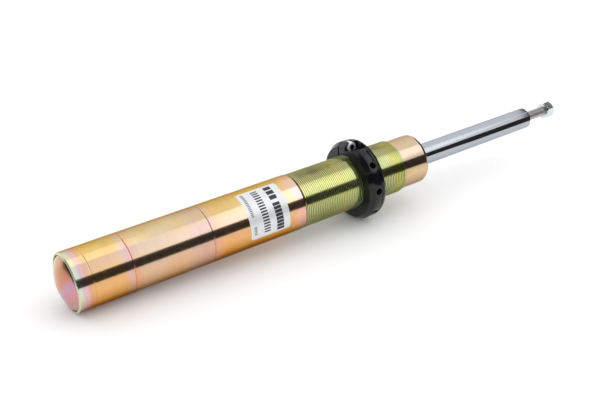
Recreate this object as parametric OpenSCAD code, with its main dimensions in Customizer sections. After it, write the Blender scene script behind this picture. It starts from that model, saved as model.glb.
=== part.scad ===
// Height-adjustable gas strut: twin-tube damper in a threaded clamp sleeve,
// with a split spring perch. The strut's axis is +X, rod end towards +X.

/* [Clamp sleeve] */
// Outside diameter that the steering knuckle clamps
sleeve_od = 54; // [52:0.5:58]
// Where the sleeve ends and the threaded sleeve begins
sleeve_end = 224; // [215:1:240]
// Distance of the clamping-depth groove from the start of the clamped wall
depth_groove = 50; // [30:1:70]
// Distance of the upper turned groove
upper_groove = 126.7; // [100:0.1:150]
// Rounding of the sleeve's bottom edge
rim_round = 1.2; // [0.5:0.1:1.5]
// Length of the label along the sleeve
label_length = 42; // [30:1:60]
// How far round the sleeve the label reaches, in degrees
label_turn = 104; // [60:2:180]

/* [Threaded sleeve] */
// Outside diameter over the thread crests
thread_od = 53; // [52.6:0.1:53.5]
// Length of the thread
thread_length = 120; // [110:2:130]
// Distance from one crest to the next
thread_pitch = 2; // [1.5:0.5:3]
// Depth of the thread
thread_depth = 0.5; // [0.3:0.1:0.8]

/* [Damper tube] */
// Outside diameter of the damper's own tube
tube_od = 49.7; // [48:0.1:49.8]
// Wall of the damper tube
tube_wall = 2; // [1.5:0.1:2.5]
// How far the tube's rolled end stands above the thread
tube_above_thread = 32; // [20:1:60]
// Outer radius of the rolled edge
roll_radius = 5; // [4:0.5:6]
// How far the domed bottom stands out below the sleeve's rim
dome_proud = 7; // [4:0.5:9]

/* [Rod] */
// Diameter of the chromed piston rod
rod_d = 22; // [20:0.5:22]
// Length of rod that shows above the tube at full extension
rod_out = 157; // [155:1:170]
// Diameter of the mounting stud
stud_d = 10; // [10:1:12]
// Length of bare stud between the rod's shoulder and the nut
stud_bare = 30; // [15:0.5:35]
// Across flats of the top nut
nut_af = 16; // [16:1:18]
// Height of the top nut
nut_h = 10; // [8:0.5:12]

/* [Damping parts] */
// Bore of the working cylinder
bore_d = 32; // [30:1:32]
// Wall of the working cylinder
bore_wall = 1.5; // [1:0.1:1.8]
// Where the piston's lower face sits at full extension
piston_x0 = 202; // [190:1:206]
// Thickness of the piston
piston_t = 20; // [16:1:22]

/* [Spring perch] */
// Where the perch's lower face sits along the strut
perch_at = 291; // [230:1:320]
// Overall thickness of the perch
perch_t = 17.5; // [15:0.5:20]
// Diameter over the spanner band
perch_od = 78.4; // [76:0.1:82]
// Diameter of the spanner peg holes
peg_d = 6.5; // [5:0.1:7]
// Depth of the spanner peg holes
peg_depth = 8; // [5:0.5:9]
// Number of peg holes
peg_count = 7; // [3:1:7]
// Angle between neighbouring peg holes
peg_step = 38.5; // [30:0.5:38.5]
// Angle of the first peg hole round the strut, from +Y towards +Z
peg_first = 138; // [136:1:140]
// Angle of the pinch screw's radius, from +Y towards +Z
pinch_angle = 85; // [80:1:90]
// Width of the saw cut
slit_w = 1.6; // [1:0.1:2]

/* [Hidden] */

fine = 128;
small = 48;

// damper tube
tube_r = tube_od / 2;
tube_in = tube_r - tube_wall;
thread_end = sleeve_end + thread_length;
tube_top = thread_end + tube_above_thread;
tube_start = 1.5;
tube_mouth_r = 13;

// clamp sleeve
sleeve_r = sleeve_od / 2;
rim_x = -0.3 - rim_round;
groove_w = 0.8;
groove_d = 0.3;
end_step = 0.6;

// label
label_x0 = sleeve_end - 18.5 - label_length;
label_first = 93;
label_t = 0.1;

// domed bottom
dome_base_x = rim_x + 1;
dome_r = tube_r - 0.35;
dome_h = dome_proud + 1;
dome_sphere = (dome_r * dome_r + dome_h * dome_h) / (2 * dome_h);
dome_centre = dome_base_x - dome_h + dome_sphere;
dome_wall = 2.5;
cap_seat_x = 8;
cap_bore = 15.5;

// base valve: a pin through a slotted body, with a disc stack below it and a check plate above
valve_pin_r = 3;
valve_pin_head_r = 5;
valve_collar_r = 4.5;
valve_disc_r = 12;
valve_seat_r = 12.5;
valve_inner_seat_r = 6;
valve_slot_w = 4;
valve_feeds = 6;
valve_feed_at = 9.5;
valve_feed_r = 1.5;
check_bore = 4.8;
check_r = 13.5;
check_t = 0.8;
check_spring_r = 9;

// working cylinder, base valve and rod guide
bore_r = bore_d / 2;
bore_out = bore_r + bore_wall;
cylinder_x0 = 14;
guide_x0 = tube_top - 24;
guide_x1 = guide_x0 + 14;
spigot_x0 = guide_x0 - 8;
bush_wall = 0.95;
running = 0.05;
guide_drains = 4;
guide_drain_r = 1.2;
guide_dish_r = 19;
seal_h = 5.5;
washer_r = 22.4;
washer_edge_r = 19.8;

// rod and piston
rod_r = rod_d / 2;
rod_top = tube_top + rod_out;
stud_r = stud_d / 2;
rod_chamfer = 0.8;
nut_x0 = rod_top + stud_bare;
nut_x1 = nut_x0 + nut_h;
nut_chamfer = 1.5;
stud_end = nut_x1 + 1.5;
socket_r = 2.5 / cos(30);
socket_depth = 5;
piston_x1 = piston_x0 + piston_t;
piston_ports = 8;
piston_port_at = 10;
piston_port_r = 1.3;
piston_gap = 0.4;
shim_radii = [12.5, 10.5, 8.5];
shim_t = [0.8, 1.4, 2];
disc_t = shim_t[2];
rod_foot = piston_x1 + disc_t;
stub_r = 5;
piston_nut_af = 17;
piston_nut_h = 10;
stub_end = piston_x0 - disc_t - piston_nut_h - 2;
band_x0 = piston_x0 + 4;
band_x1 = piston_x1 - 4;
band_in = bore_r - 1.1;
buffer_h = 11.5;
buffer_r = 14;
stop_h = 6;
stop_r = 14.5;
buffer_x1 = spigot_x0 - 0.5;
buffer_x0 = buffer_x1 - buffer_h;
stop_x0 = buffer_x0 - stop_h;

// perch and pinch screw, in a frame whose +Y points out along the pinch radius
perch_r = perch_od / 2;
perch_bore = thread_od / 2 + 0.1;
perch_top = perch_at + perch_t;
hub_r = 29.5;
hub_h = 3;
screw_x = perch_at + perch_t / 2 - 0.25;
screw_out = 33.6;
screw_d = 6;
head_d = 10;
head_h = 6;
screw_len = 10;
bearing_z = -5.8;
pocket_r = 6;
slit_z = bearing_z - 4.2;

// a solid of revolution about the strut's axis, from [radius, x] points
module lathe(points, sides = fine)
    rotate([0, 90, 0]) rotate_extrude($fn = sides) polygon(points);

// a straight ring between two radii
module ring(inner, outer, x0, x1, sides = fine)
    lathe([[inner, x0], [outer, x0], [outer, x1], [inner, x1]], sides);

// children moved onto a circle of holes about the strut's axis
module around(count, radius)
    for (i = [0 : count - 1])
        rotate([i * 360 / count, 0, 0]) translate([0, radius, 0]) children();

// a drilling along the strut's axis
module drilling(radius, x0, x1)
    translate([x0, 0, 0]) rotate([0, 90, 0]) cylinder(r = radius, h = x1 - x0, $fn = small);

function arc(cr, cx, radius, a0, a1, steps) =
    [for (i = [0 : steps]) let (a = a0 + (a1 - a0) * i / steps)
        [cr + radius * cos(a), cx + radius * sin(a)]];

// outline of a shallow turned groove with sloping sides and a flat bottom
function vee(x, r) = [[r, x - groove_w / 2], [r - groove_d, x - groove_w / 4],
                      [r - groove_d, x + groove_w / 4], [r, x + groove_w / 2]];

module reserve_tube() color("#d6a56b")
    lathe(concat(
        [[tube_in, tube_start], [tube_r, tube_start]],
        arc(tube_r - roll_radius, tube_top - roll_radius, roll_radius, 0, 90, 12),
        [[tube_mouth_r + 0.6, tube_top], [tube_mouth_r, tube_top - 0.6],
         [tube_mouth_r, tube_top - tube_wall]],
        arc(tube_r - roll_radius, tube_top - roll_radius, roll_radius - tube_wall, 90, 0, 12)));

module bottom_cap() color("#d98f78") {
    spread = asin(dome_r / dome_sphere);
    inner = dome_sphere - dome_wall;
    inner_spread = asin(cap_bore / inner);
    lathe(concat(
        arc(0, dome_centre, dome_sphere, -90, -90 + spread, 16),
        [[dome_r, tube_start], [tube_in, tube_start], [tube_in, cap_seat_x - 1],
         [tube_in - 1, cap_seat_x], [cap_bore, cap_seat_x]],
        arc(0, dome_centre, inner, -90 + inner_spread, -90, 12)));
}

module clamp_sleeve() color("#e2b55c")
    lathe(concat(
        [[tube_r, rim_x + 0.8], [tube_r + 0.6, rim_x]],
        arc(sleeve_r - rim_round, rim_x + rim_round, rim_round, -90, 0, 6),
        vee(depth_groove, sleeve_r),
        vee(upper_groove, sleeve_r),
        [[sleeve_r, sleeve_end - end_step - 0.2], [sleeve_r - end_step, sleeve_end - 0.2],
         [sleeve_r - end_step, sleeve_end], [tube_r, sleeve_end]]));

module threaded_sleeve() color("#a9ad4e") {
    crest = thread_od / 2;
    root = crest - thread_depth;
    turns = floor((thread_length - 4) / thread_pitch);
    first = sleeve_end + 2;
    lathe(concat(
        [[tube_r, sleeve_end], [crest - 0.6, sleeve_end], [crest, sleeve_end + 0.6]],
        [for (i = [0 : turns - 1], p = [[crest, 0.3], [root, 0.45], [root, 0.55], [crest, 0.7]])
            [p[0], first + (i + p[1]) * thread_pitch]],
        [[crest, thread_end - 1], [crest - 1, thread_end], [tube_r, thread_end]]));
}

module label() color("#e9e9e6")
    translate([label_x0, 0, 0]) rotate([0, 90, 0]) rotate([0, 0, label_first + 90])
        rotate_extrude(angle = label_turn, $fn = fine)
            translate([sleeve_r, 0]) square([label_t, label_length]);

module inner_cylinder() color("#b9bcc0")
    ring(bore_r, bore_out, cylinder_x0, guide_x0);

module base_valve_body() color("#8d8f92")
    difference() {
        lathe([[valve_pin_r, cap_seat_x], [bore_out, cap_seat_x], [bore_out, cylinder_x0],
               [bore_r, cylinder_x0], [bore_r, cylinder_x0 + 5.5], [bore_r - 0.5, cylinder_x0 + 6],
               [valve_pin_r, cylinder_x0 + 6]]);
        around(valve_feeds, valve_feed_at) drilling(valve_feed_r, cap_seat_x - 1, cylinder_x0 + 7);
        ring(valve_inner_seat_r, valve_seat_r, cap_seat_x - 1, cap_seat_x + 2);
        for (a = [0, 90])
            rotate([a, 0, 0]) translate([cap_seat_x - 1, -bore_out - 1, -valve_slot_w / 2])
                cube([3, 2 * bore_out + 2, valve_slot_w]);
    }

module base_valve_pin() color("#c9ccd1")
    lathe([[0, cap_seat_x - 4.5], [valve_pin_head_r, cap_seat_x - 4.5],
           [valve_pin_head_r, cap_seat_x - 1], [valve_pin_r, cap_seat_x - 1],
           [valve_pin_r, cylinder_x0 + 9.5], [valve_collar_r, cylinder_x0 + 9.5],
           [valve_collar_r, cylinder_x0 + 12], [valve_collar_r - 1, cylinder_x0 + 13],
           [0, cylinder_x0 + 13]], small);

module base_valve_discs() color("#70777f")
    lathe([[valve_pin_r, cap_seat_x - 1], [valve_disc_r - 2, cap_seat_x - 1],
           [valve_disc_r - 2, cap_seat_x - 0.5], [valve_disc_r, cap_seat_x - 0.5],
           [valve_disc_r, cap_seat_x], [valve_pin_r, cap_seat_x]]);

module base_check_plate() color("#9aa1a8")
    ring(check_bore, check_r, cylinder_x0 + 6, cylinder_x0 + 6 + check_t);

module base_check_spring() color("#6d7278")
    lathe([[valve_pin_r, cylinder_x0 + 8.9], [valve_collar_r, cylinder_x0 + 8.9],
           [check_spring_r - 0.6, cylinder_x0 + 6 + check_t], [check_spring_r, cylinder_x0 + 6 + check_t],
           [check_spring_r, cylinder_x0 + 7.2], [check_bore, cylinder_x0 + 9.5],
           [valve_pin_r, cylinder_x0 + 9.5]]);

module rod_guide() color("#7d7a74")
    difference() {
        lathe([[rod_r + running + bush_wall, spigot_x0], [bore_r - 1, spigot_x0],
               [bore_r, spigot_x0 + 1], [bore_r, guide_x0], [tube_in, guide_x0],
               [tube_in, guide_x1], [guide_dish_r, guide_x1], [guide_dish_r, guide_x1 - 2],
               [rod_r + running + bush_wall, guide_x1 - 2]]);
        around(guide_drains, bore_out + 2.8) drilling(guide_drain_r, guide_x0 - 1, guide_x1 + 1);
    }

module guide_bush() color("#b58b3f")
    ring(rod_r + running, rod_r + running + bush_wall, spigot_x0 + 1, guide_x1 - 3);

module oil_seal() color("#2f2f31")
    lathe([[rod_r + running, guide_x1 + 1], [rod_r + 1.5, guide_x1 - 1], [rod_r + 3.5, guide_x1 - 1],
           [rod_r + 3.5, guide_x1], [tube_in, guide_x1], [tube_in, guide_x1 + 5],
           [tube_in - 0.5, guide_x1 + seal_h], [rod_r + 2, guide_x1 + seal_h],
           [rod_r + running, guide_x1 + 4.5], [rod_r + running, guide_x1 + 4],
           [rod_r + 1, guide_x1 + 2.8], [rod_r + running, guide_x1 + 1.5]]);

module seal_washer() color("#a8abad")
    lathe([[rod_r + 1.5, guide_x1 + seal_h], [washer_r, guide_x1 + seal_h],
           [washer_r - 0.9, guide_x1 + seal_h + 1.7], [washer_edge_r, tube_top - tube_wall],
           [rod_r + 1.5, tube_top - tube_wall]]);

module piston_rod() color("#cfd4da")
    difference() {
        lathe([[0, stub_end], [stub_r - 0.8, stub_end], [stub_r, stub_end + 0.8],
               [stub_r, rod_foot], [rod_r - 0.6, rod_foot], [rod_r, rod_foot + 0.6],
               [rod_r, rod_top - rod_chamfer], [rod_r - rod_chamfer, rod_top], [stud_r, rod_top],
               [stud_r, stud_end - 1.2], [stud_r - 1.2, stud_end], [0, stud_end]]);
        translate([stud_end - socket_depth, 0, 0]) rotate([0, 90, 0])
            cylinder(r = socket_r, h = socket_depth + 1, $fn = 6);
    }

module piston() color("#6f6a63") {
    land = bore_r - piston_gap;
    difference() {
        lathe([[stub_r, piston_x0], [land - 0.8, piston_x0], [land, piston_x0 + 0.8],
               [land, band_x0], [band_in - running, band_x0], [band_in - running, band_x1],
               [land, band_x1], [land, piston_x1 - 0.8], [land - 0.8, piston_x1], [stub_r, piston_x1]]);
        around(piston_ports, piston_port_at) drilling(piston_port_r, piston_x0 - 1, piston_x1 + 1);
    }
}

// a stack of shims that rises from a face of the piston, one way or the other along the strut
module shims(face, way) {
    tops = [for (t = shim_t) face + way * t];
    lathe([[stub_r, face], [shim_radii[0], face], [shim_radii[0], tops[0]], [shim_radii[1], tops[0]],
           [shim_radii[1], tops[1]], [shim_radii[2], tops[1]], [shim_radii[2], tops[2]],
           [stub_r, tops[2]]]);
}

module compression_discs() color("#70777f") shims(piston_x1, 1);

module rebound_discs() color("#70777f") shims(piston_x0, -1);

module piston_nut() color("#a8a49b") {
    x0 = piston_x0 - disc_t - piston_nut_h;
    difference() {
        translate([x0, 0, 0]) rotate([0, 90, 0])
            cylinder(d = piston_nut_af / cos(30), h = piston_nut_h, $fn = 6);
        drilling(stub_r, x0 - 1, x0 + piston_nut_h + 1);
    }
}

module piston_band() color("#3c5a4c")
    ring(band_in, bore_r - running, band_x0 + running, band_x1 - running);

module rebound_stop() color("#8f949a")
    lathe([[rod_r, stop_x0], [stop_r - 1.5, stop_x0], [stop_r, stop_x0 + 1.5], [stop_r, buffer_x0],
           [rod_r, buffer_x0]]);

module rebound_buffer() color("#2b2b2d")
    lathe(concat([[rod_r, buffer_x0], [buffer_r, buffer_x0]],
        arc(buffer_r - 1.2, (buffer_x0 + buffer_x1) / 2, 2, -60, 60, 8),
        [[buffer_r, buffer_x1], [rod_r, buffer_x1]]));

module top_nut() color("#c7ced6") {
    flat = nut_af / 2;
    corner = flat / cos(30) + 0.1;
    difference() {
        intersection() {
            translate([nut_x0, 0, 0]) rotate([0, 90, 0])
                cylinder(d = nut_af / cos(30), h = nut_h, $fn = 6);
            lathe([[0, nut_x0], [flat - 0.3, nut_x0], [corner, nut_x0 + nut_chamfer],
                   [corner, nut_x1 - nut_chamfer], [flat - 0.3, nut_x1], [0, nut_x1]]);
        }
        drilling(stud_r, nut_x0 - 1, nut_x1 + 1);
    }
}

// children placed in the pinch frame: +Y out along the pinch radius, +Z the way the screw head faces
module pinch_frame()
    rotate([pinch_angle, 0, 0]) translate([screw_x, 0, 0]) children();

module perch_collar() color("#1d1e20")
    difference() {
        lathe([[perch_bore, perch_at + 0.6], [perch_bore + 0.6, perch_at], [35.5, perch_at],
               [38.3, perch_at + 3.8], [perch_r - 0.3, perch_at + 4.6], [perch_r, perch_at + 5.4],
               [perch_r, perch_at + 12], [perch_r - 0.6, perch_at + 12.3], [perch_r - 0.6, perch_at + 12.8],
               [perch_r - 0.1, perch_at + 13.1], [perch_r - 0.3, perch_at + 15.5],
               [perch_r - 0.8, perch_top - 0.8], [perch_r - 1.7, perch_top], [hub_r, perch_top],
               [hub_r, perch_top + hub_h - 0.8], [hub_r - 0.8, perch_top + hub_h],
               [perch_bore + 0.6, perch_top + hub_h], [perch_bore, perch_top + hub_h - 0.6]]);
        for (i = [0 : peg_count - 1])
            rotate([peg_first + i * peg_step, 0, 0]) translate([screw_x, perch_r - peg_depth, 0])
                rotate([-90, 0, 0]) cylinder(d = peg_d, h = peg_depth + 1, $fn = small);
        pinch_frame() {
            // saw cut through one side of the ring
            translate([-20, 20, slit_z - slit_w]) cube([40, 25, slit_w]);
            // clearance and thread hole
            translate([0, screw_out, -30]) cylinder(d = screw_d + 0.1, h = 30, $fn = small);
            // round seat for the head
            translate([0, screw_out, bearing_z]) cylinder(r = pocket_r, h = 9, $fn = small);
            // notch milled over the head, open towards the lower face
            translate([-20, 0, 0]) rotate([0, 90, 0])
                linear_extrude(height = 20 + pocket_r)
                    polygon([[0.5, 31.8], [-8, 33.2], [-16, 36.3], [-16, 45], [0.5, 45]]);
        }
    }

module pinch_screw() color("#cfd6da")
    pinch_frame() translate([0, screw_out, 0]) difference() {
        union() {
            translate([0, 0, bearing_z]) rotate_extrude($fn = small)
                polygon([[0, 0], [head_d / 2, 0], [head_d / 2, head_h - 0.6],
                         [head_d / 2 - 0.6, head_h], [0, head_h]]);
            translate([0, 0, bearing_z - screw_len]) rotate_extrude($fn = small)
                polygon([[0, 0], [screw_d / 2 - 0.8, 0], [screw_d / 2, 0.8],
                         [screw_d / 2, screw_len + 1], [0, screw_len + 1]]);
        }
        translate([0, 0, bearing_z + head_h - 3.2]) cylinder(r = socket_r, h = 4, $fn = 6);
    }

reserve_tube();
bottom_cap();
clamp_sleeve();
threaded_sleeve();
label();
inner_cylinder();
base_valve_body();
base_valve_pin();
base_valve_discs();
base_check_plate();
base_check_spring();
rod_guide();
guide_bush();
oil_seal();
seal_washer();
piston_rod();
piston();
compression_discs();
rebound_discs();
piston_nut();
piston_band();
rebound_stop();
rebound_buffer();
top_nut();
perch_collar();
pinch_screw();
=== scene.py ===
import math

import bmesh
import bpy
from mathutils import Matrix, Vector


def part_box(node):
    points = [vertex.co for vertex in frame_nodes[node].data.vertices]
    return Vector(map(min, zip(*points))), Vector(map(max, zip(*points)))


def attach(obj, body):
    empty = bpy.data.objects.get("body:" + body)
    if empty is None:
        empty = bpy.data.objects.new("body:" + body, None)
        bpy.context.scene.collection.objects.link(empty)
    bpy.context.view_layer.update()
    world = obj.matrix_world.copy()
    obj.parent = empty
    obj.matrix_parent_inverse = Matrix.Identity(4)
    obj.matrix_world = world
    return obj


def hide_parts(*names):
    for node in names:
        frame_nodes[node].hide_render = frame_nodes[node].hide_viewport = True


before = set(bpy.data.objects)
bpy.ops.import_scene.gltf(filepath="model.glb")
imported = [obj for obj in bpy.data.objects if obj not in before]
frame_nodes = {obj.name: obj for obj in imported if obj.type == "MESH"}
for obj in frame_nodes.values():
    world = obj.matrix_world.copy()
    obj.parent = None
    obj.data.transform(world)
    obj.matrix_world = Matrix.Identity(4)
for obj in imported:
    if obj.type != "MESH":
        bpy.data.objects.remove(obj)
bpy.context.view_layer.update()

# Studio: a matt white table that the strut lies on, and the camera above its domed end.
# The strut rests on its sleeve's rim and on the wider perch, so the table leans to touch both.
mm = 0.001
sleeve_low, sleeve_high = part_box("clamp_sleeve")
perch_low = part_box("perch_collar")[0]
sleeve_r = sleeve_high.y
perch_r = -perch_low.y
rim_round = 1.2 * mm
rim_touch = sleeve_low.x + rim_round
perch_touch = perch_low.x + 12 * mm
lean = math.atan2(perch_r - sleeve_r, perch_touch - rim_touch)
table_up = Vector((math.sin(lean), 0, math.cos(lean)))


def placed(name, bm):
    """Makes an object of a bmesh and puts it in the scene."""
    mesh = bpy.data.meshes.new(name)
    bm.to_mesh(mesh)
    bm.free()
    piece = bpy.data.objects.new(name, mesh)
    bpy.context.scene.collection.objects.link(piece)
    return piece


def new_material(name):
    """A new material; returns it with its node tree and its Principled shader."""
    material = bpy.data.materials.new(name)
    material.use_nodes = True
    return material, material.node_tree, material.node_tree.nodes["Principled BSDF"]


bm = bmesh.new()
bmesh.ops.create_grid(bm, x_segments=1, y_segments=1, size=20)
bmesh.ops.rotate(bm, verts=bm.verts, cent=(0, 0, 0), matrix=Matrix.Rotation(lean, 3, "Y"))
bmesh.ops.translate(bm, verts=bm.verts, vec=(rim_touch, 0, -sleeve_r))
table = placed("table", bm)
table_paint, tree, shader = new_material("table_white")
shader.inputs["Base Color"].default_value = (0.97, 0.97, 0.97, 1)
shader.inputs["Roughness"].default_value = 0.6
shader.inputs["Specular IOR Level"].default_value = 0.2
table.data.materials.append(table_paint)

camera_place = Vector((-223.6, -678.5, 440.6)) * mm
camera_turn = math.radians(34.05)
camera_dip = math.radians(28.38)
aim = Vector((
    math.sin(camera_turn) * math.cos(camera_dip),
    math.cos(camera_turn) * math.cos(camera_dip),
    -math.sin(camera_dip),
))
side = aim.cross(table_up).normalized()
above = side.cross(aim)
camera_data = bpy.data.cameras.new("camera")
camera_data.sensor_width = 36
camera_data.lens = 59.1
camera = bpy.data.objects.new("camera", camera_data)
camera.matrix_world = Matrix.Translation(camera_place) @ Matrix((side, above, -aim)).transposed().to_4x4()
bpy.context.scene.collection.objects.link(camera)
bpy.context.scene.camera = camera
bpy.context.scene.view_settings.view_transform = "Standard"


# Light: a pale room, one wide softbox above the perch end and a small one above the domed end.
# Dark screens stand in front and on the left, a dark cloth lies past the table's right edge, and a
# dark disc faces the stud end; their reflections are the dark stripes along every turned surface.
room = bpy.data.worlds.new("room")
room.use_nodes = True
room.node_tree.nodes["Background"].inputs["Color"].default_value = (1, 1, 1, 1)
room.node_tree.nodes["Background"].inputs["Strength"].default_value = 1.12
bpy.context.scene.world = room
lamp_height = 1.0
slope_from = 0.2


def studio_gear(name, bm):
    """Studio gear, which the camera itself doesn't see."""
    gear = placed(name, bm)
    gear.visible_camera = False
    return gear


def flat_panel(name, corners):
    """A flat piece of studio gear through four corners."""
    bm = bmesh.new()
    bm.faces.new([bm.verts.new(c) for c in corners])
    return studio_gear(name, bm)


def sums(tree, operation, first, second=None, third=None):
    """A Math node; each value is a number or another node's output."""
    node = tree.nodes.new("ShaderNodeMath")
    node.operation = operation
    for socket, value in zip(node.inputs, (first, second, third)):
        if value is None:
            continue
        if isinstance(value, (int, float)):
            socket.default_value = value
        else:
            tree.links.new(value, socket)
    return node.outputs[0]


def softbox(name, low, high, stops):
    """A glowing panel that faces down; stops give its brightness by the slope, along the strut, of
    the light's way from the panel to the strut at slope_from."""
    panel = flat_panel(name, [(low[0], low[1], lamp_height), (low[0], high[1], lamp_height),
                              (high[0], high[1], lamp_height), (high[0], low[1], lamp_height)])
    glow = bpy.data.materials.new(name)
    glow.use_nodes = True
    tree = glow.node_tree
    tree.nodes.clear()
    place = tree.nodes.new("ShaderNodeTexCoord")
    split = tree.nodes.new("ShaderNodeSeparateXYZ")
    tree.links.new(place.outputs["Object"], split.inputs[0])
    away = sums(tree, "SUBTRACT", split.outputs["X"], slope_from)
    reach = sums(tree, "ADD", sums(tree, "POWER", split.outputs["Y"], 2), lamp_height ** 2)
    slope = sums(tree, "DIVIDE", away, sums(tree, "SQRT", reach))
    bright = tree.nodes.new("ShaderNodeFloatCurve")
    curve = bright.mapping.curves[0]
    bright.mapping.clip_max_x, bright.mapping.clip_max_y = 2, 2
    for point, (x, y) in zip(curve.points, (stops[0], stops[-1])):
        point.location = (x, y)
    for x, y in stops[1:-1]:
        curve.points.new(x, y)
    bright.mapping.update()
    tree.links.new(slope, bright.inputs["Value"])
    shine = tree.nodes.new("ShaderNodeEmission")
    tree.links.new(bright.outputs[0], shine.inputs["Strength"])
    ending = tree.nodes.new("ShaderNodeOutputMaterial")
    tree.links.new(shine.outputs[0], ending.inputs["Surface"])
    panel.data.materials.append(glow)


softbox("wide_softbox", (0.30, -1.6), (1.5, -0.085),
        [(0.10, 0.95), (0.28, 1.3), (0.41, 1.6), (0.56, 1.95),
         (0.88, 1.7), (1.02, 1.6), (1.24, 1.1), (1.5, 0.6)])
softbox("small_softbox", (0.15, -0.16), (0.43, 0.43), [(0.0, 1.45), (0.5, 1.45)])

front_y = -3.0
front_low = -0.4
front_high = -front_y * math.tan(math.radians(32))
front_end = 7.0
left_x = -2.6
left_low = -0.1
left_high = 5.0
left_back = 2.7
cloth_lift = 2 * mm
cloth_end = 4.5
disc_r = 2.86
disc_x = 3.2


def table_z(x):
    """Height of the leaning table's top at x."""
    return -sleeve_r - math.tan(lean) * (x - rim_touch)


screens = [
    flat_panel("front_screen", [(left_x, front_y, front_low), (front_end, front_y, front_low),
                                (front_end, front_y, front_high), (left_x, front_y, front_high)]),
    flat_panel("left_screen", [(left_x, front_y, left_low), (left_x, left_back, left_low),
                               (left_x, left_back, left_high), (left_x, front_y, left_high)]),
    flat_panel("edge_cloth", [(x, y, table_z(x) + cloth_lift) for x, y in
                              ((0.57, -0.15), (1.6, front_y), (cloth_end, front_y), (cloth_end, 0.3))]),
]
bm = bmesh.new()
bmesh.ops.create_circle(bm, cap_ends=True, segments=96, radius=disc_r)
bmesh.ops.rotate(bm, verts=bm.verts, cent=(0, 0, 0), matrix=Matrix.Rotation(math.pi / 2, 3, "Y"))
bmesh.ops.translate(bm, verts=bm.verts, vec=(disc_x, 0, 0))
screens.append(studio_gear("end_disc", bm))
black_cloth, tree, shader = new_material("black_cloth")
shader.inputs["Base Color"].default_value = (0.035, 0.035, 0.035, 1)
shader.inputs["Roughness"].default_value = 1
shader.inputs["Specular IOR Level"].default_value = 0
for screen in screens:
    screen.data.materials.append(black_cloth)
    screen.visible_diffuse = False
    screen.visible_shadow = False


# Clamp sleeve: a steel tube turned to fit the knuckle's clamp, with a rounded rim at the bottom and
# three fine turned grooves, zinc plated and passivated yellow. It fits closely over the damper tube.
round_steps = 256


def finished(name, bm, body, slot_name, *stands_for, crease=30):
    """Turns a bmesh into a smooth-shaded piece that rides on a body and stands for CAD nodes."""
    piece = placed(name, bm)
    for polygon in piece.data.polygons:
        polygon.use_smooth = True
    piece.data.set_sharp_from_angle(angle=math.radians(crease))
    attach(piece, body)
    if stands_for:
        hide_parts(*stands_for)
    return piece


def turned(outline, closed=True):
    """A bmesh turned about the strut's axis from (x, radius) points in metres."""
    bm = bmesh.new()
    points = [bm.verts.new((x, 0, r)) for x, r in outline]
    pairs = list(zip(points, points[1:]))
    if closed:
        pairs.append((points[-1], points[0]))
    edges = [bm.edges.new(pair) for pair in pairs]
    bmesh.ops.spin(bm, geom=points + edges, cent=(0, 0, 0), axis=(1, 0, 0), dvec=(0, 0, 0),
                   angle=2 * math.pi, steps=round_steps, use_merge=True)
    bmesh.ops.remove_doubles(bm, verts=bm.verts, dist=1e-6)
    bmesh.ops.recalc_face_normals(bm, faces=bm.faces)
    return bm


def corner(x, r, radius, start, end, steps=6):
    """Points round a corner of the outline; angles run from +X towards the outside."""
    return [(x + radius * math.cos(math.radians(start + (end - start) * i / steps)),
             r + radius * math.sin(math.radians(start + (end - start) * i / steps)))
            for i in range(steps + 1)]


def groove(x, r, width, depth):
    """A turned groove in a wall of radius r; the outer points keep the wall's shading straight."""
    left, right = x - width / 2, x + width / 2
    return [(left - 0.5 * mm, r), (left - 0.1 * mm, r), (left, r - 0.05 * mm), (x - width / 5, r - depth),
            (x + width / 5, r - depth), (right, r - 0.05 * mm), (right + 0.1 * mm, r), (right + 0.5 * mm, r)]


tube_low, tube_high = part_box("reserve_tube")
tube_r = tube_high.y
rim_x = sleeve_low.x
sleeve_end = sleeve_high.x
sleeve_marks = [13.7 * mm, 50 * mm, 126.7 * mm]

sleeve_outline = [(sleeve_end, tube_r), (rim_x + 0.5 * mm, tube_r), (rim_x + 0.1 * mm, tube_r + 0.15 * mm)]
sleeve_outline += corner(rim_x + 0.3 * mm, tube_r + 0.45 * mm, 0.3 * mm, 225, 180, 3)
sleeve_outline += corner(rim_x + rim_round, sleeve_r - rim_round, rim_round, 180, 90)
sleeve_outline += [(rim_x + rim_round + 0.4 * mm, sleeve_r)]
mark_sizes = [(0.4 * mm, 0.12 * mm), (0.6 * mm, 0.22 * mm), (0.7 * mm, 0.25 * mm)]
for mark, (width, depth) in zip(sleeve_marks, mark_sizes):
    sleeve_outline += groove(mark, sleeve_r, width, depth)
sleeve_outline += [(sleeve_end - 1.4 * mm, sleeve_r)]
sleeve_outline += corner(sleeve_end - 0.9 * mm, sleeve_r - 0.6 * mm, 0.6 * mm, 90, 0, 4)
sleeve_outline += [(sleeve_end - 0.3 * mm, sleeve_r - 1.1 * mm), (sleeve_end, sleeve_r - 1.1 * mm)]
sleeve = finished("clamp_sleeve_turned", turned(sleeve_outline), "strut_body", "yellow_zinc", "clamp_sleeve")


def new_group(name, outputs):
    """An empty shader node group with named values; returns it with its output node."""
    group = bpy.data.node_groups.new(name, "ShaderNodeTree")
    for socket in outputs:
        group.interface.new_socket(socket, in_out="OUTPUT", socket_type="NodeSocketFloat")
    return group, group.nodes.new("NodeGroupOutput")


def noise(tree, vector, scale, detail=3, roughness=0.5):
    """A Noise texture's value."""
    node = tree.nodes.new("ShaderNodeTexNoise")
    node.inputs["Scale"].default_value = scale
    node.inputs["Detail"].default_value = detail
    node.inputs["Roughness"].default_value = roughness
    tree.links.new(vector, node.inputs["Vector"])
    return node.outputs["Fac"]


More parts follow.
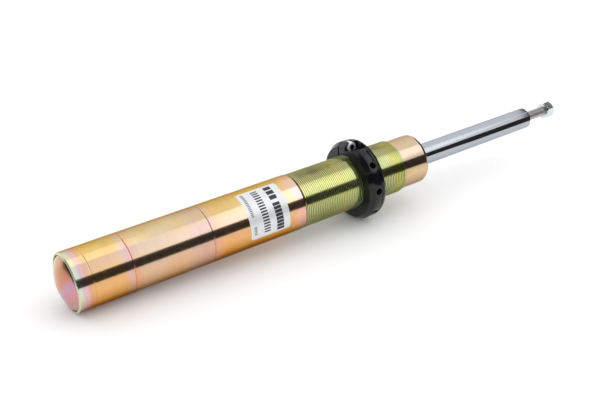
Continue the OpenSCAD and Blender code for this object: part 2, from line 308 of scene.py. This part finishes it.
def ramp(tree, value, stops):
    """A colour ramp; stops are (place, (r, g, b)) with place from 0 to 1."""
    node = tree.nodes.new("ShaderNodeValToRGB")
    while len(node.color_ramp.elements) < len(stops):
        node.color_ramp.elements.new(1)
    for element, (place, colour) in zip(node.color_ramp.elements, stops):
        element.position = place
        element.color = (*colour, 1)
    tree.links.new(value, node.inputs["Fac"])
    return node.outputs["Color"]


def mix(tree, factor, first, second, blend="MIX"):
    """Mixes two colours; each is an (r, g, b) or another node's output."""
    node = tree.nodes.new("ShaderNodeMix")
    node.data_type = "RGBA"
    node.blend_type = blend
    for socket, value in zip((node.inputs[0], node.inputs[6], node.inputs[7]), (factor, first, second)):
        if isinstance(value, (int, float)):
            socket.default_value = value
        elif isinstance(value, tuple):
            socket.default_value = (*value, 1)
        else:
            tree.links.new(value, socket)
    return node.outputs[2]


# turned_surface: where a point is round and along the strut, cloudy patches of a thick or
# thin film, and the fine rings that the lathe leaves.
turned_surface, surface_out = new_group("turned_surface", ["Around", "Along", "Radius", "Clouds", "Rings"])
place_node = turned_surface.nodes.new("ShaderNodeTexCoord")
split = turned_surface.nodes.new("ShaderNodeSeparateXYZ")
turned_surface.links.new(place_node.outputs["Object"], split.inputs[0])
angle = sums(turned_surface, "ARCTAN2", split.outputs["Z"], split.outputs["Y"])
turns = sums(turned_surface, "ADD", sums(turned_surface, "DIVIDE", angle, 2 * math.pi), 1.0)
turns = sums(turned_surface, "FRACT", turns)
turned_surface.links.new(turns, surface_out.inputs["Around"])
turned_surface.links.new(split.outputs["X"], surface_out.inputs["Along"])
radius = sums(turned_surface, "SQRT", sums(
    turned_surface, "ADD", sums(turned_surface, "POWER", split.outputs["Y"], 2.0),
    sums(turned_surface, "POWER", split.outputs["Z"], 2.0)))
turned_surface.links.new(radius, surface_out.inputs["Radius"])
clouds = noise(turned_surface, place_node.outputs["Object"], 38, detail=4, roughness=0.55)
turned_surface.links.new(clouds, surface_out.inputs["Clouds"])
squeeze = 0.02
stretch = turned_surface.nodes.new("ShaderNodeCombineXYZ")
turned_surface.links.new(split.outputs["X"], stretch.inputs["X"])
turned_surface.links.new(sums(turned_surface, "MULTIPLY", split.outputs["Y"], squeeze), stretch.inputs["Y"])
turned_surface.links.new(sums(turned_surface, "MULTIPLY", split.outputs["Z"], squeeze), stretch.inputs["Z"])
rings = noise(turned_surface, stretch.outputs[0], 900, detail=3, roughness=0.6)
turned_surface.links.new(rings, surface_out.inputs["Rings"])


def lathe_marks(tree):
    """The turned_surface group as a node in a material."""
    node = tree.nodes.new("ShaderNodeGroup")
    node.node_tree = turned_surface
    return node


def metal(name, roughness, coat=0.0, coat_roughness=0.05, edge=(1, 1, 1)):
    """A new metallic material, edge being its tint at a glancing view."""
    material, tree, shader = new_material(name)
    shader.inputs["Metallic"].default_value = 1
    shader.inputs["Roughness"].default_value = roughness
    shader.inputs["Coat Weight"].default_value = coat
    shader.inputs["Coat Roughness"].default_value = coat_roughness
    shader.inputs["Specular Tint"].default_value = (*edge, 1)
    return material, tree, shader


def bump(tree, shader, height, strength, distance):
    """Adds a Bump node from a height to the shader's normal."""
    node = tree.nodes.new("ShaderNodeBump")
    node.inputs["Strength"].default_value = strength
    node.inputs["Distance"].default_value = distance
    tree.links.new(height, node.inputs["Height"])
    tree.links.new(node.outputs["Normal"], shader.inputs["Normal"])


def zinc(name, round_colours_and_painted_light, roughness, tint_stops=None, start=0.0, length=1.0, outer=0.0,
         pooled_and_painted_shade=(0.1, 0.07, 0.03), edge=(0.54, 0.37, 0.22)):
    """Yellow-passivated zinc: its round stops give its colour by the angle round the strut, with
    painted highlights and painted shade among them, and tint_stops a film colour and how thick
    it lies along the strut, from start over length.
    Below the outer radius, in grooves, the colour turns dark: the passivate collects there, and
    the darkening is also painted shade in the recess. edge is its tint at a glancing view."""
    material, tree, shader = metal(name, roughness, coat=0.08, coat_roughness=0.08, edge=edge)
    surface = lathe_marks(tree)
    drift = sums(tree, "SUBTRACT", surface.outputs["Clouds"], 0.5)
    around = sums(tree, "MULTIPLY_ADD", drift, 0.10, surface.outputs["Around"])
    # Colour by the angle round the strut; the tables passed in hold painted highlights and painted shade.
    colour = ramp(tree, around, [(a / 360, c) for a, c in round_colours_and_painted_light])
    if tint_stops:
        place = sums(tree, "DIVIDE", sums(tree, "SUBTRACT", surface.outputs["Along"], start), length)
        place = sums(tree, "MULTIPLY_ADD", drift, 0.03, place)
        film = ramp(tree, place, [(x, c) for x, c, _ in tint_stops])
        mask = ramp(tree, place, [(x, (v, v, v)) for x, _, v in tint_stops])
        thick = ramp(tree, surface.outputs["Clouds"], [(0.35, (0.45, 0.45, 0.45)), (0.6, (1, 1, 1))])
        mask = sums(tree, "MULTIPLY", mask, thick)
        colour = mix(tree, mask, colour, film)
    streak = ramp(tree, surface.outputs["Rings"], [(0.3, (0.95, 0.94, 0.93)), (0.7, (1.0, 1.0, 1.0))])
    colour = mix(tree, 1.0, colour, streak, "MULTIPLY")
    # Grooves and thread roots turn dark: partly passivate that collects there, partly painted shade in the
    # recess.
    depth = sums(tree, "SUBTRACT", outer - 0.04 * mm, surface.outputs["Radius"])
    depth = sums(tree, "DIVIDE", depth, 0.25 * mm)
    colour = mix(tree, ramp(tree, depth, [(0, (0, 0, 0)), (1, (0.6, 0.6, 0.6))]), colour, pooled_and_painted_shade)
    tree.links.new(colour, shader.inputs["Base Color"])
    rough = sums(tree, "MULTIPLY_ADD", surface.outputs["Rings"], 0.10, roughness - 0.05)
    tree.links.new(rough, shader.inputs["Roughness"])
    bump(tree, shader, surface.outputs["Rings"], 0.08, 0.02 * mm)
    return material


# Colour by the angle round the strut. Besides the zinc's own tone it holds painted light: a pale pink painted
# highlight at 128 to 140 degrees, where the wide softbox shines, and dark brown painted shade at 215 to 230
# degrees on the lower side, where the shaded table is reflected.
sleeve_tone_and_painted_light = [
    (0, (0.78, 0.52, 0.20)), (70, (0.66, 0.50, 0.22)), (90, (0.60, 0.44, 0.17)),
    (103, (0.74, 0.51, 0.20)), (115, (0.72, 0.53, 0.27)), (128, (0.76, 0.53, 0.42)),
    (140, (0.75, 0.52, 0.44)), (150, (0.78, 0.50, 0.32)), (170, (0.74, 0.39, 0.22)),
    (180, (0.82, 0.42, 0.19)), (200, (0.72, 0.34, 0.10)), (215, (0.44, 0.17, 0.04)),
    (230, (0.34, 0.12, 0.03)), (300, (0.72, 0.42, 0.16)), (360, (0.78, 0.52, 0.20)),
]
pale_green, lavender = (0.66, 0.76, 0.58), (0.62, 0.54, 0.74)
pink, rose = (0.82, 0.50, 0.56), (0.76, 0.40, 0.36)
beige, gold, violet_grey = (0.64, 0.55, 0.42), (0.82, 0.54, 0.14), (0.56, 0.42, 0.44)
# The peach film near the sleeve's upper end is partly the film's own tint and partly a painted highlight,
# lightened towards pink-white.
peach_and_painted_highlight = (0.84, 0.52, 0.40)
sleeve_film = [
    (0.0, pale_green, 1.0), (0.009, pale_green, 0.9), (0.018, lavender, 0.9), (0.030, pink, 0.85),
    (0.044, rose, 0.5), (0.06, gold, 0.4), (0.18, gold, 0.25), (0.205, lavender, 0.35),
    (0.225, rose, 0.5), (0.26, beige, 0.55), (0.45, beige, 0.6), (0.51, violet_grey, 0.6),
    (0.56, violet_grey, 0.55), (0.585, rose, 0.4), (0.62, gold, 0.15), (0.92, gold, 0.3),
    (0.96, peach_and_painted_highlight, 0.6), (0.985, pink, 0.45), (1.0, pink, 0.5),
]
# The sleeve's turned grooves are darkened: partly passivate collected in them, partly painted shade.
sleeve.data.materials.append(zinc(
    "yellow_zinc_turned", sleeve_tone_and_painted_light, roughness=0.14, tint_stops=sleeve_film, start=0,
    length=sleeve_end, outer=sleeve_r))
rim_colours = [
    (0, (0.62, 0.66, 0.52)), (160, (0.66, 0.70, 0.60)), (220, (0.72, 0.66, 0.56)),
    (360, (0.62, 0.66, 0.52)),
]
sleeve.data.materials.append(zinc("pale_zinc_rim", rim_colours, roughness=0.3, edge=(0.95, 0.95, 0.88)))
pale_deep = 0.9 * mm
for polygon in sleeve.data.polygons:
    if polygon.center.x < rim_x + pale_deep:
        polygon.material_index = 1


# Threaded sleeve: a steel tube with a right-hand thread cut from end to end, on which the perch
# climbs. Its ends are faced and chamfered, and it is zinc plated and passivated olive.
thread_low, thread_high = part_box("threaded_sleeve")
crest_r = thread_high.y


def screw_thread(start, end, crest, depth, pitch, bore, chamfer, steps):
    """A bmesh sleeve with a right-hand thread cut into its outside, its ends faced and chamfered."""
    bm = bmesh.new()
    tooth = [(0.30, crest), (0.45, crest - depth), (0.55, crest - depth), (0.70, crest)]
    teeth = math.ceil((end - start) / pitch) + 3
    points = [bm.verts.new((start + (n - 2 + share) * pitch, 0, r))
              for n in range(teeth) for share, r in tooth]
    edges = [bm.edges.new(pair) for pair in zip(points, points[1:])]
    bmesh.ops.spin(bm, geom=points + edges, cent=(0, 0, 0), axis=(1, 0, 0), dvec=(pitch / steps, 0, 0),
                   angle=2 * math.pi, steps=steps, use_merge=False)
    bmesh.ops.remove_doubles(bm, verts=bm.verts, dist=pitch * 1e-3)
    for x, way in ((start, -1), (end, 1)):
        bmesh.ops.bisect_plane(bm, geom=bm.verts[:] + bm.edges[:] + bm.faces[:], dist=1e-7,
                               plane_co=(x, 0, 0), plane_no=(way, 0, 0), clear_outer=True)
    for v in bm.verts:
        r = math.hypot(v.co.y, v.co.z)
        allowed = crest - max(0, chamfer - (v.co.x - start), chamfer - (end - v.co.x))
        if r > allowed:
            v.co.y *= allowed / r
            v.co.z *= allowed / r
    for x in (start, end):
        rim = [e for e in bm.edges if e.is_boundary and all(abs(v.co.x - x) < 1e-6 for v in e.verts)]
        made = bmesh.ops.extrude_edge_only(bm, edges=rim)
        for v in (g for g in made["geom"] if isinstance(g, bmesh.types.BMVert)):
            r = math.hypot(v.co.y, v.co.z)
            v.co.y *= bore / r
            v.co.z *= bore / r
    ends = [e for e in bm.edges if e.is_boundary]
    bmesh.ops.bridge_loops(bm, edges=ends)
    bmesh.ops.recalc_face_normals(bm, faces=bm.faces)
    return bm


perch_thread = finished(
    "perch_thread_cut",
    screw_thread(thread_low.x, thread_high.x, crest_r, depth=0.5 * mm, pitch=2 * mm, bore=tube_r,
                 chamfer=1 * mm, steps=192),
    "strut_body", "olive_zinc", "threaded_sleeve", crease=40)
# Colour by the angle round the strut, with painted light in it: a dark brown top at 75 to 92 degrees as
# painted shade, a bright painted highlight at 134 degrees, and a darker lower side from 205 degrees as
# painted shade.
thread_tone_and_painted_light = [
    (0, (0.52, 0.55, 0.22)), (75, (0.20, 0.17, 0.11)), (92, (0.22, 0.19, 0.10)),
    (104, (0.44, 0.42, 0.19)), (118, (0.46, 0.46, 0.21)), (134, (0.60, 0.62, 0.28)),
    (150, (0.50, 0.54, 0.22)), (175, (0.42, 0.46, 0.18)), (205, (0.30, 0.32, 0.15)),
    (240, (0.34, 0.30, 0.19)), (300, (0.44, 0.48, 0.18)), (360, (0.52, 0.55, 0.22)),
]
thread_film = [
    (0.0, (0.58, 0.50, 0.30), 0.5), (0.2, (0.50, 0.54, 0.22), 0.2),
    (0.38, (0.62, 0.56, 0.20), 0.5), (0.55, (0.42, 0.58, 0.30), 0.6),
    (0.7, (0.44, 0.52, 0.34), 0.6), (0.85, (0.60, 0.62, 0.36), 0.5),
    (0.93, (0.66, 0.60, 0.12), 0.7), (1.0, (0.40, 0.56, 0.22), 0.7),
]
thread_long = thread_high.x - thread_low.x
# The thread roots are darkened: partly passivate collected in them, partly painted shade.
perch_thread.data.materials.append(zinc(
    "olive_zinc_thread", thread_tone_and_painted_light, roughness=0.16, tint_stops=thread_film, start=thread_low.x,
    length=thread_long, outer=crest_r, pooled_and_painted_shade=(0.26, 0.27, 0.10), edge=(0.5, 0.5, 0.36)))


# Damper tube: the strut's own drawn tube. Only its top shows, above the thread, where its edge
# is rolled inwards over the seal's washer.
roll = 5 * mm
wall = 2 * mm
mouth_r = 13 * mm
tube_outline = [(tube_low.x, tube_r - wall), (tube_low.x, tube_r)]
tube_outline += corner(tube_high.x - roll, tube_r - roll, roll, 90, 0, 12)
tube_outline += [(tube_high.x, mouth_r + 0.6 * mm), (tube_high.x - 0.6 * mm, mouth_r)]
tube_outline += [(tube_high.x - wall, mouth_r)]
tube_outline += corner(tube_high.x - roll, tube_r - roll, roll - wall, 0, 90, 8)
tube = finished("damper_tube_rolled", turned(tube_outline), "strut_body", "tan_zinc", "reserve_tube")
# Colour by the angle round the strut, with painted light in it: a pale pink painted highlight at 134 degrees,
# and a darker lower side from 210 to 300 degrees as painted shade.
tube_tone_and_painted_light = [
    (0, (0.66, 0.52, 0.32)), (90, (0.60, 0.48, 0.31)), (107, (0.64, 0.50, 0.30)),
    (134, (0.68, 0.56, 0.44)), (150, (0.62, 0.48, 0.36)), (170, (0.58, 0.44, 0.24)),
    (182, (0.72, 0.52, 0.26)), (210, (0.58, 0.42, 0.28)), (240, (0.50, 0.44, 0.34)),
    (300, (0.52, 0.50, 0.28)), (360, (0.66, 0.52, 0.32)),
]
tube_film = [(0.0, rose, 0.25), (0.5, beige, 0.2), (0.8, pink, 0.25), (1.0, gold, 0.3)]
tube.data.materials.append(zinc(
    "tan_zinc_tube", tube_tone_and_painted_light, roughness=0.14, tint_stops=tube_film, start=thread_high.x,
    length=tube_high.x - thread_high.x, edge=(0.62, 0.52, 0.42)))


# Bottom cap: a disc pressed into a dome and welded into the tube's lower end. It stands a little
# out of the sleeve's rim, with a narrow gap round it.
cap_low, cap_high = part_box("bottom_cap")
cap_r = cap_high.y
dome_foot = rim_x + 0.6 * mm
dome_high = dome_foot - cap_low.x
dome_radius = (cap_r ** 2 + dome_high ** 2) / (2 * dome_high)
dome_mid = cap_low.x + dome_radius
cap_wall = 2.5 * mm
cap_bore = 15.5 * mm
spread = math.degrees(math.asin((cap_r - 1.2 * mm) / dome_radius))
cap_outline = corner(dome_mid, 0, dome_radius, 180, 180 - spread, 24)
cap_outline += [(dome_foot + 0.1 * mm, cap_r - 0.5 * mm), (dome_foot + 0.3 * mm, cap_r), (tube_low.x, cap_r)]
cap_outline += [(tube_low.x, tube_r - wall), (cap_high.x, tube_r - wall), (cap_high.x, cap_bore)]
inner_spread = math.degrees(math.asin(cap_bore / (dome_radius - cap_wall)))
cap_outline += corner(dome_mid, 0, dome_radius - cap_wall, 180 - inner_spread, 180, 12)
cap = finished("bottom_cap_domed", turned(cap_outline, closed=False), "strut_body", "salmon_zinc",
               "bottom_cap")
cap_metal, tree, shader = metal("salmon_zinc_cap", 0.2, coat=0.3, coat_roughness=0.1)
surface = lathe_marks(tree)
place_node = tree.nodes.new("ShaderNodeTexCoord")
split = tree.nodes.new("ShaderNodeSeparateXYZ")
tree.links.new(place_node.outputs["Object"], split.inputs[0])
slant = sums(tree, "MULTIPLY", split.outputs["Z"], -0.6)
slant = sums(tree, "MULTIPLY_ADD", split.outputs["Y"], -0.8, slant)
slant = sums(tree, "MULTIPLY_ADD", slant, 0.5 / cap_r, 0.5)
slant = sums(tree, "MULTIPLY_ADD", sums(tree, "SUBTRACT", surface.outputs["Clouds"], 0.5), 0.35, slant)
colour = ramp(tree, slant, [(0.1, (0.60, 0.42, 0.24)), (0.35, (0.58, 0.26, 0.13)), (0.55, (0.60, 0.24, 0.15)),
                            (0.7, (0.56, 0.30, 0.42)), (0.85, (0.66, 0.28, 0.28)), (1.0, (0.46, 0.36, 0.27))])
tree.links.new(colour, shader.inputs["Base Color"])
tree.links.new(sums(tree, "MULTIPLY_ADD", surface.outputs["Clouds"], 0.12, 0.2), shader.inputs["Roughness"])
bump(tree, shader, surface.outputs["Clouds"], 0.1, 0.1 * mm)
cap.data.materials.append(cap_metal)


# Piston rod: one ground and hard-chromed bar, turned down at the top to a shoulder and an M10
# stud, which is left bare, and at the bottom to the seat for the piston.
rod_low, rod_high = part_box("piston_rod")
rod_r = rod_high.y
rod_shown = 157 * mm
shoulder = tube_high.x + rod_shown
stud_r = 5 * mm
root_r = stud_r - 0.8 * mm
foot = 224 * mm
seat_r = 5 * mm
rod_outline = [(rod_low.x, 0), (rod_low.x, seat_r - 0.8 * mm), (rod_low.x + 0.8 * mm, seat_r), (foot, seat_r)]
rod_outline += [(foot, rod_r - 0.6 * mm), (foot + 0.6 * mm, rod_r), (foot + 1 * mm, rod_r)]
rod_outline += [(shoulder - 0.8 * mm, rod_r)]
rod_outline += corner(shoulder - 0.4 * mm, rod_r - 0.4 * mm, 0.4 * mm, 90, 0, 4)
rod_outline += [(shoulder, stud_r - 0.5 * mm), (shoulder + 0.5 * mm, stud_r - 0.7 * mm)]
rod_outline += [(shoulder + 2 * mm, stud_r - 0.7 * mm), (shoulder + 2.6 * mm, root_r)]
rod_outline += [(rod_high.x - 2 * mm, root_r), (rod_high.x - 2 * mm, 0)]
rod = finished("rod_chromed", turned(rod_outline, closed=False), "rod", "chromed_rod", "piston_rod")
chrome, tree, shader = metal("hard_chrome", 0.06, edge=(0.66, 0.68, 0.72))
surface = lathe_marks(tree)
tint = ramp(tree, surface.outputs["Rings"], [(0.3, (0.42, 0.44, 0.48)), (0.7, (0.47, 0.49, 0.53))])
tree.links.new(tint, shader.inputs["Base Color"])
tree.links.new(sums(tree, "MULTIPLY_ADD", surface.outputs["Rings"], 0.05, 0.035), shader.inputs["Roughness"])
rod.data.materials.append(chrome)

stud = finished(
    "rod_stud_thread",
    screw_thread(shoulder + 2 * mm, rod_high.x, stud_r, depth=0.7 * mm, pitch=1.5 * mm,
                 bore=2.9 * mm, chamfer=1 * mm, steps=64),
    "rod", "chromed_rod", crease=50)
stud_steel, tree, shader = metal("stud_steel", 0.45)
surface = lathe_marks(tree)
tint = ramp(tree, surface.outputs["Clouds"], [(0.3, (0.50, 0.47, 0.47)), (0.7, (0.66, 0.63, 0.62))])
tree.links.new(tint, shader.inputs["Base Color"])
stud.data.materials.append(stud_steel)


def softened(name, node, body, slot_name, width):
    """A copy of a CAD node with its triangles merged, its edges rounded and its faces smooth."""
    bm = bmesh.new()
    bm.from_mesh(frame_nodes[node].data)
    bmesh.ops.remove_doubles(bm, verts=bm.verts, dist=1e-6)
    bmesh.ops.dissolve_limit(bm, angle_limit=math.radians(0.5), verts=bm.verts, edges=bm.edges)
    piece = finished(name, bm, body, slot_name, node)
    rounding = piece.modifiers.new("rounding", "BEVEL")
    rounding.width = width
    rounding.segments = 2
    rounding.limit_method = "ANGLE"
    rounding.angle_limit = math.radians(30)
    rounding.harden_normals = True
    return piece


def cloudy(tree, shader, scale, dark, light, detail=4):
    """Colours a shader in fine clouds from a dark to a light tint; returns the clouds."""
    place_node = tree.nodes.new("ShaderNodeTexCoord")
    cloud = noise(tree, place_node.outputs["Object"], scale, detail=detail)
    tree.links.new(ramp(tree, cloud, [(0.3, dark), (0.7, light)]), shader.inputs["Base Color"])
    return cloud


nut = softened("top_nut_plated", "top_nut", "rod", "white_zinc", width=0.15 * mm)
plated, tree, shader = metal("white_zinc_plate", 0.16)
cloud = cloudy(tree, shader, 260, (0.55, 0.62, 0.66), (0.72, 0.77, 0.79))
tree.links.new(sums(tree, "MULTIPLY_ADD", cloud, 0.1, 0.1), shader.inputs["Roughness"])
bump(tree, shader, cloud, 0.08, 0.03 * mm)
nut.data.materials.clear()
nut.data.materials.append(plated)


# Spring perch: a split aluminium ring, turned and milled, with spanner peg holes round its band and
# a notch for the pinch screw, anodised black.
perch = softened("perch_ring_black", "perch_collar", "perch", "black_anodised", width=0.25 * mm)
anodised, tree, shader = new_material("black_anodised_satin")
surface = lathe_marks(tree)
tint = ramp(tree, surface.outputs["Clouds"], [(0.3, (0.003, 0.003, 0.004)), (0.7, (0.006, 0.006, 0.008))])
tree.links.new(tint, shader.inputs["Base Color"])
band_deep = 4.2 * mm
band_blend = 0.6 * mm
band_share = sums(tree, "SUBTRACT", surface.outputs["Radius"], perch_r - band_deep)
band_share = sums(tree, "DIVIDE", band_share, band_blend)
dull = ramp(tree, band_share, [(0, (0.30, 0.30, 0.30)), (1, (0.10, 0.10, 0.10))])
tree.links.new(sums(tree, "MULTIPLY_ADD", surface.outputs["Rings"], 0.10, dull), shader.inputs["Roughness"])
shader.inputs["IOR"].default_value = 1.42
bump(tree, shader, surface.outputs["Rings"], 0.2, 0.03 * mm)
perch.data.materials.clear()
perch.data.materials.append(anodised)


# Pinch screw: an M6 socket-head screw that draws the split shut and locks the perch on its thread.
# It is steel, zinc plated and passivated clear; the inside of its hex socket is painted near black, as
# painted shade in the deep recess.
screw = softened("pinch_screw_plated", "pinch_screw", "pinch_screw", "white_zinc", width=0.15 * mm)
screw_plate, tree, shader = metal("screw_zinc_plate", 0.3)
shader.inputs["Metallic"].default_value = 0.6
cloud = cloudy(tree, shader, 400, (0.62, 0.72, 0.78), (0.84, 0.90, 0.93))
tree.links.new(sums(tree, "MULTIPLY_ADD", cloud, 0.16, 0.22), shader.inputs["Roughness"])
bump(tree, shader, cloud, 0.12, 0.03 * mm)
# The hex socket's near-black colour is painted shade, not the steel's own colour.
socket_painted_shade, tree, shader = metal("screw_socket_painted_shade", 0.5)
cloudy(tree, shader, 400, (0.03, 0.04, 0.045), (0.07, 0.085, 0.09))
screw.data.materials.clear()
screw.data.materials.append(screw_plate)
screw.data.materials.append(socket_painted_shade)
screw_turn = math.radians(85)
screw_out = 33.6 * mm
screw_x = 299.5 * mm
socket_r = 2.95 * mm
screw_mid = Vector((screw_x, screw_out * math.cos(screw_turn), screw_out * math.sin(screw_turn)))
screw_way = Vector((0, -math.sin(screw_turn), math.cos(screw_turn)))
# Faces within the socket's radius of the screw's axis take the painted shade.
for polygon in screw.data.polygons:
    corners = [screw.data.vertices[i].co - screw_mid for i in polygon.vertices]
    if max(point.cross(screw_way).length for point in corners) < socket_r:
        polygon.material_index = 1


# Label: silver-white foil glued round the sleeve, with rounded corners. Plain printed bars and
# blocks stand in its three rows of print.
label_low, label_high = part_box("label")
label_x0, label_x1 = label_low.x, label_high.x
label_first, label_last = math.radians(93), math.radians(197)
label_rows = 60
foil_thick = 0.05 * mm
foil_r = sleeve_r + 0.06 * mm
ink_r = foil_r + 0.02 * mm


def wrapped(bm, radius):
    """Bends a flat bmesh round the sleeve: x stays, y becomes the arc from the label's first edge."""
    for v in bm.verts:
        turn = label_first + v.co.y / sleeve_r
        v.co = Vector((v.co.x, (radius + v.co.z) * math.cos(turn), (radius + v.co.z) * math.sin(turn)))
    return bm


def patch(bm, x0, x1, y0, y1, rows=1):
    """Adds a flat rectangle cut into rows across y."""
    made = bmesh.ops.create_grid(bm, x_segments=1, y_segments=rows, size=0.5)
    bmesh.ops.scale(bm, verts=made["verts"], vec=(x1 - x0, y1 - y0, 1))
    bmesh.ops.translate(bm, verts=made["verts"], vec=((x0 + x1) / 2, (y0 + y1) / 2, 0))


label_arc = (label_last - label_first) * sleeve_r
bm = bmesh.new()
patch(bm, label_x0, label_x1, 0, label_arc)
bmesh.ops.bevel(bm, geom=bm.verts[:], offset=2.5 * mm, offset_type="OFFSET", segments=6, profile=0.5,
                affect="VERTICES", material=-1)
for cut in range(1, label_rows):
    bmesh.ops.bisect_plane(bm, geom=bm.verts[:] + bm.edges[:] + bm.faces[:], dist=1e-7,
                           plane_co=(0, label_arc * cut / label_rows, 0), plane_no=(0, 1, 0))
bmesh.ops.solidify(bm, geom=bm.faces[:], thickness=foil_thick)
label = finished("label_foil_sheet", wrapped(bm, foil_r), "strut_body", "label_foil", "label", crease=60)
foil, tree, shader = new_material("label_silver_foil")
grain = cloudy(tree, shader, 1500, (0.66, 0.67, 0.68), (0.76, 0.77, 0.78), detail=2)
shader.inputs["Metallic"].default_value = 0.35
tree.links.new(sums(tree, "MULTIPLY_ADD", grain, 0.1, 0.32), shader.inputs["Roughness"])
label.data.materials.append(foil)


def printed(bm, x0, x1, start, length, gap, count):
    """Adds a row of equal printed blocks round the label, from start, between x0 and x1."""
    for n in range(count):
        first = start + n * (length + gap)
        patch(bm, x0, x1, first, first + length, rows=6)


wide_x1 = label_x1 - 7 * mm
wide_x0 = wide_x1 - 7.5 * mm
middle_x1 = wide_x0 - 7 * mm
middle_x0 = middle_x1 - 6.7 * mm
small_x1 = middle_x1 - 14.2 * mm
small_x0 = small_x1 - 3 * mm
bm = bmesh.new()
printed(bm, wide_x0, wide_x1, start=2.2 * mm, length=4.2 * mm, gap=1.3 * mm, count=3)
printed(bm, wide_x0, wide_x1, start=20.7 * mm, length=2.9 * mm, gap=0.45 * mm, count=8)
printed(bm, middle_x0, middle_x1, start=2.8 * mm, length=1.5 * mm, gap=1.2 * mm, count=16)
printed(bm, small_x0, small_x1, start=2.2 * mm, length=0.8 * mm, gap=0.9 * mm, count=15)
printed(bm, small_x0, small_x1, start=36.3 * mm, length=0.8 * mm, gap=0.9 * mm, count=5)
marks = finished("label_print", wrapped(bm, ink_r), "strut_body", "label_foil", crease=60)
ink, tree, shader = new_material("label_ink")
grain = cloudy(tree, shader, 900, (0.012, 0.012, 0.014), (0.03, 0.03, 0.034), detail=2)
tree.links.new(sums(tree, "MULTIPLY_ADD", grain, 0.2, 0.35), shader.inputs["Roughness"])
marks.data.materials.append(ink)


# Inside parts of bare metal: the honed pressure tube, the sintered valve bodies and guide, the
# steel discs, spring, pin and nut, and the guide's rolled bronze bush. They keep their CAD shape.
def dressed(nodes, material, tree, shader, cloud, roughness):
    """Gives the CAD nodes one material, whose roughness varies a little with its clouds."""
    tree.links.new(sums(tree, "MULTIPLY_ADD", cloud, 0.15, roughness - 0.08), shader.inputs["Roughness"])
    for node in nodes:
        frame_nodes[node].data.materials.clear()
        frame_nodes[node].data.materials.append(material)


def inner_metal(name, dark, light, roughness, scale, nodes):
    """Gives the CAD nodes one cloudy metal, from a dark to a light tint."""
    material, tree, shader = metal(name, roughness)
    dressed(nodes, material, tree, shader, cloudy(tree, shader, scale, dark, light), roughness)


inner_metal("honed_steel", (0.50, 0.50, 0.51), (0.60, 0.60, 0.61), roughness=0.2, scale=120,
            nodes=["inner_cylinder", "seal_washer"])
inner_metal("sintered_iron", (0.26, 0.26, 0.27), (0.38, 0.37, 0.37), roughness=0.5, scale=900,
            nodes=["base_valve_body", "rod_guide", "piston", "base_check_plate"])
inner_metal("spring_steel", (0.34, 0.33, 0.33), (0.46, 0.45, 0.44), roughness=0.28, scale=300,
            nodes=["base_valve_discs", "base_check_spring", "base_valve_pin", "compression_discs",
                   "rebound_discs", "piston_nut", "rebound_stop"])
inner_metal("bronze_bush", (0.46, 0.28, 0.13), (0.60, 0.38, 0.20), roughness=0.32, scale=400,
            nodes=["guide_bush"])


# Soft inside parts: the black rubber lip seal and rebound buffer, and the piston's brown glide band
# of filled plastic. They keep their CAD shape.
def inner_soft(name, dark, light, roughness, nodes):
    """Gives the CAD nodes one matt moulded material, from a dark to a light tint."""
    material, tree, shader = new_material(name)
    dressed(nodes, material, tree, shader, cloudy(tree, shader, 500, dark, light, detail=3), roughness)


inner_soft("seal_rubber", (0.012, 0.012, 0.013), (0.03, 0.03, 0.032), roughness=0.55,
           nodes=["oil_seal", "rebound_buffer"])
inner_soft("glide_band_plastic", (0.08, 0.035, 0.015), (0.13, 0.06, 0.028), roughness=0.45,
           nodes=["piston_band"])
